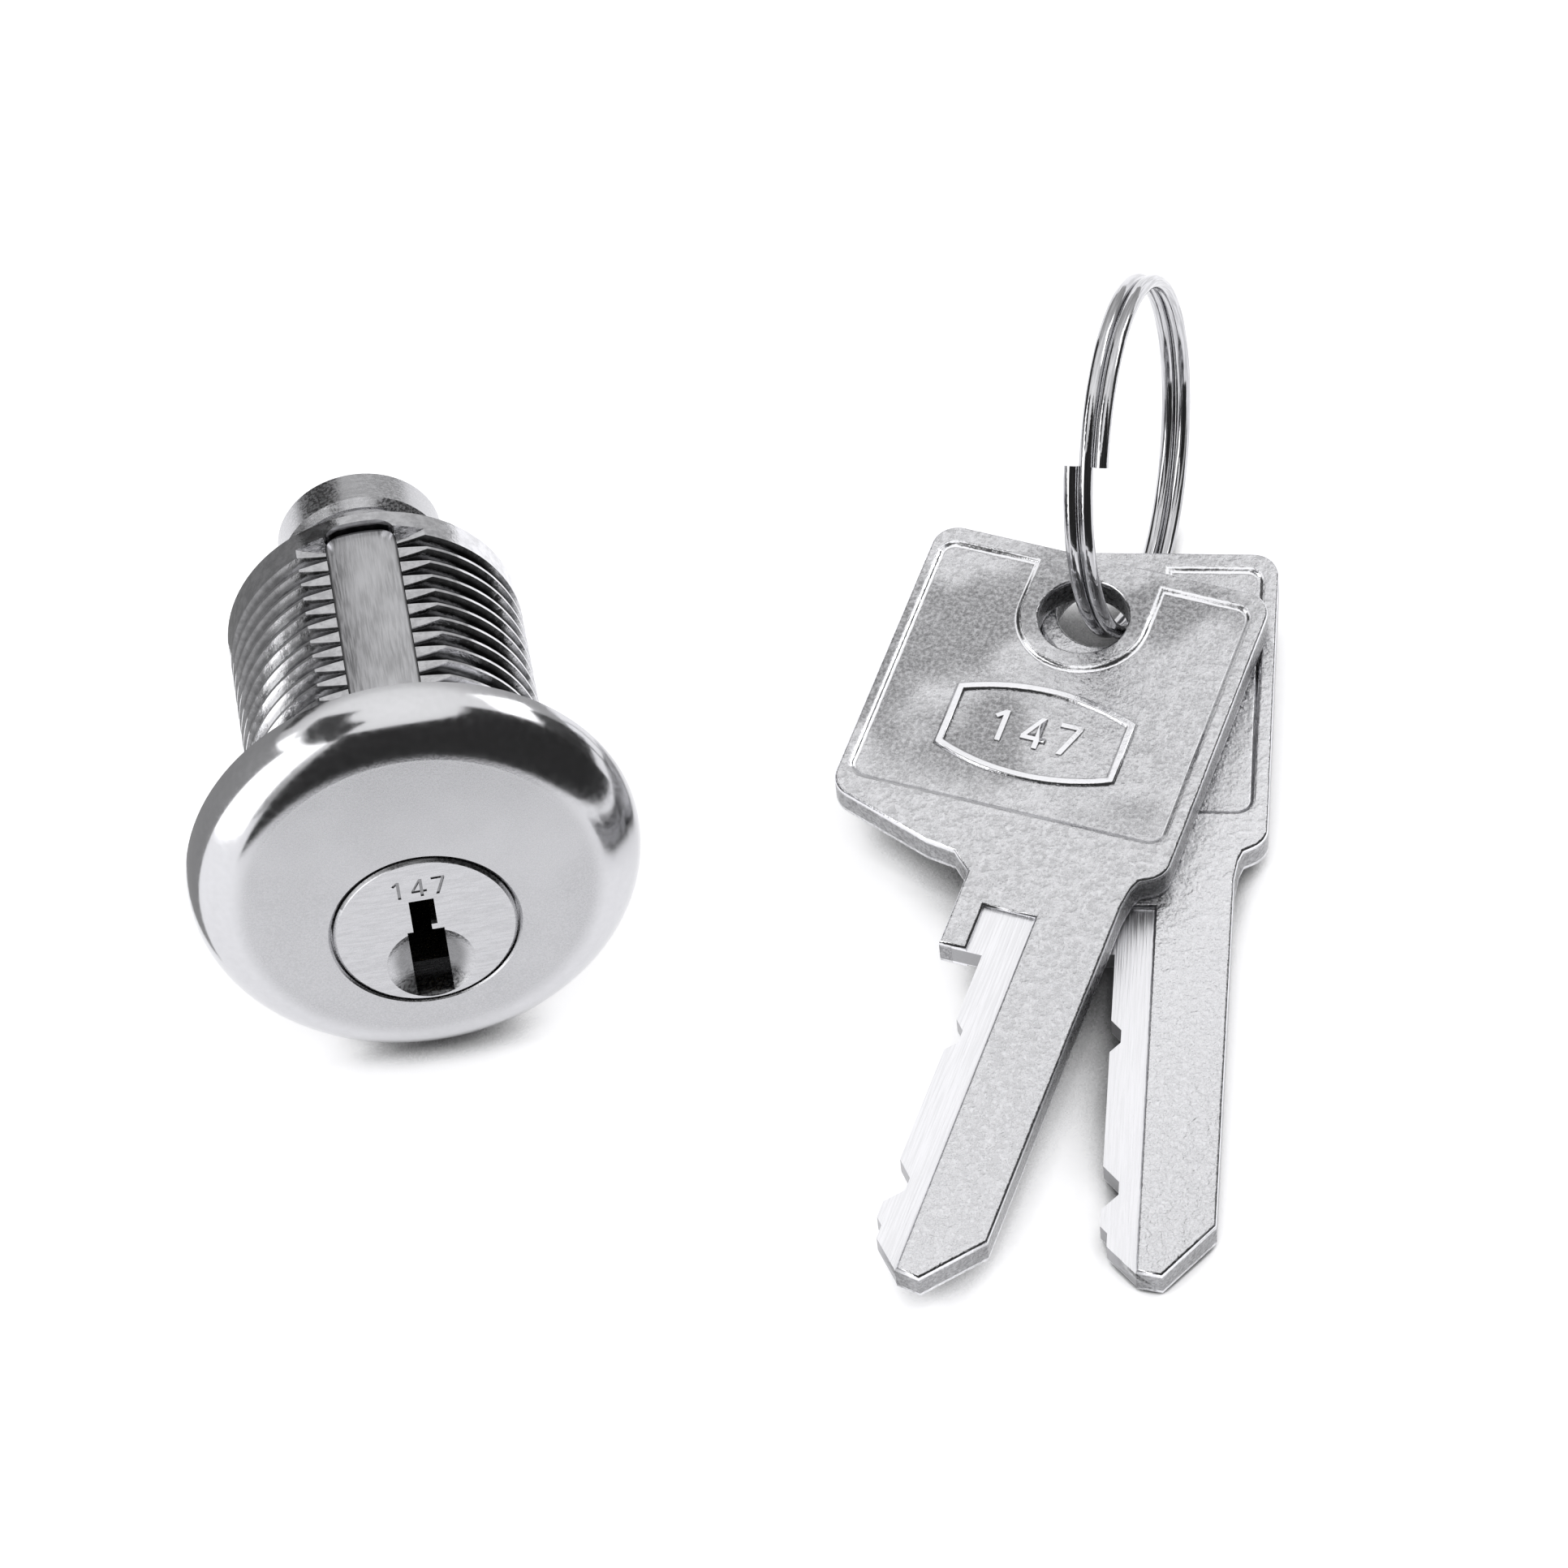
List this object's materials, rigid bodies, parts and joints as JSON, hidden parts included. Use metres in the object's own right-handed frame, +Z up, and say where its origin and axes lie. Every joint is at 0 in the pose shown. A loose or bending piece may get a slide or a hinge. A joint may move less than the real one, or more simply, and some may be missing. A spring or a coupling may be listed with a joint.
{
  "type": "cam lock",
  "caption": "Pin-tumbler cam lock with a round mushroom head and threaded barrel, and flat cut keys on a split ring.",
  "frame": {"origin": "centre of the part's box, at the level of the table it lies on", "axes": "+Z up from the table, the lock's face looks towards -Y and its tail towards +Y, the keys lie on the +X side"},
  "size_m": [0.0768, 0.0722, 0.0296],
  "materials": {
    "chrome_head": "polished chrome plate over die-cast zinc",
    "strip_nickel": "satin nickel plate",
    "plug_nickel": "fine-turned nickel plate",
    "pin_brass": "turned brass",
    "spring_steel": "drawn spring wire",
    "clip_steel": "stamped and zinc plated",
    "key_nickel": "grainy cast nickel plate with milled bands",
    "ring_steel": "polished drawn steel wire"
  },
  "bodies": {
    "housing": {"housing": "chrome_head", "chamber_cover": "strip_nickel", "pin_spring_1": "spring_steel", "pin_spring_2": "spring_steel", "pin_spring_3": "spring_steel", "pin_spring_4": "spring_steel", "pin_spring_5": "spring_steel"},
    "plug": {"plug": "plug_nickel", "retaining_clip": "clip_steel"},
    "key_pin_1": {"key_pin_1": "pin_brass"},
    "key_pin_2": {"key_pin_2": "pin_brass"},
    "key_pin_3": {"key_pin_3": "pin_brass"},
    "key_pin_4": {"key_pin_4": "pin_brass"},
    "key_pin_5": {"key_pin_5": "pin_brass"},
    "driver_pin_1": {"driver_pin_1": "pin_brass"},
    "driver_pin_2": {"driver_pin_2": "pin_brass"},
    "driver_pin_3": {"driver_pin_3": "pin_brass"},
    "driver_pin_4": {"driver_pin_4": "pin_brass"},
    "driver_pin_5": {"driver_pin_5": "pin_brass"},
    "lower_key": {"key_2": "key_nickel"},
    "upper_key": {"key_1": "key_nickel"},
    "ring": {"key_ring": "ring_steel"}
  },
  "joints": [
    {"name": "plug_turn", "type": "hinge", "parent": "housing", "child": "plug", "pos_m": [-0.02338, -0.00197, 0.01183], "axis": [0, 0.986, -0.167], "range_deg": [0, 90]},
    {"name": "key_pin_slide_1", "type": "slide", "parent": "plug", "child": "key_pin_1", "axis": [0, 0.167, 0.986], "range_m": [-0.0014, 0]},
    {"name": "key_pin_slide_2", "type": "slide", "parent": "plug", "child": "key_pin_2", "axis": [0, 0.167, 0.986], "range_m": [-0.002, 0]},
    {"name": "key_pin_slide_3", "type": "slide", "parent": "plug", "child": "key_pin_3", "axis": [0, 0.167, 0.986], "range_m": [-0.002, 0]},
    {"name": "key_pin_slide_4", "type": "slide", "parent": "plug", "child": "key_pin_4", "axis": [0, 0.167, 0.986], "range_m": [-0.001, 0]},
    {"name": "key_pin_slide_5", "type": "slide", "parent": "plug", "child": "key_pin_5", "axis": [0, 0.167, 0.986], "range_m": [-0.0016, 0]},
    {"name": "driver_pin_slide_1", "type": "slide", "parent": "housing", "child": "driver_pin_1", "axis": [0, 0.167, 0.986], "range_m": [0, 0.001], "stiffness_N_per_m": 100, "springref_m": -0.001, "deforming": ["pin_spring_1"]},
    {"name": "driver_pin_slide_2", "type": "slide", "parent": "housing", "child": "driver_pin_2", "axis": [0, 0.167, 0.986], "range_m": [0, 0.001], "stiffness_N_per_m": 100, "springref_m": -0.001, "deforming": ["pin_spring_2"]},
    {"name": "driver_pin_slide_3", "type": "slide", "parent": "housing", "child": "driver_pin_3", "axis": [0, 0.167, 0.986], "range_m": [0, 0.001], "stiffness_N_per_m": 100, "springref_m": -0.001, "deforming": ["pin_spring_3"]},
    {"name": "driver_pin_slide_4", "type": "slide", "parent": "housing", "child": "driver_pin_4", "axis": [0, 0.167, 0.986], "range_m": [0, 0.001], "stiffness_N_per_m": 100, "springref_m": -0.001, "deforming": ["pin_spring_4"]},
    {"name": "driver_pin_slide_5", "type": "slide", "parent": "housing", "child": "driver_pin_5", "axis": [0, 0.167, 0.986], "range_m": [0, 0.001], "stiffness_N_per_m": 100, "springref_m": -0.001, "deforming": ["pin_spring_5"]},
    {"name": "keys_lift", "type": "slide", "parent": "housing", "child": "lower_key", "axis": [0, 0, 1], "range_m": [0, 0.06]},
    {"name": "key_fan", "type": "hinge", "parent": "lower_key", "child": "upper_key", "pos_m": [0.02431, 0.01599, 0.00449], "axis": [-0.0096, -0.0401, 0.9991], "range_deg": [-12, 12]},
    {"name": "ring_turn", "type": "hinge", "parent": "lower_key", "child": "ring", "pos_m": [0.02942, 0.02437, 0.01252], "axis": [0.9129, -0.395, 0.1028], "range_deg": [-25, 25]}
  ]
}
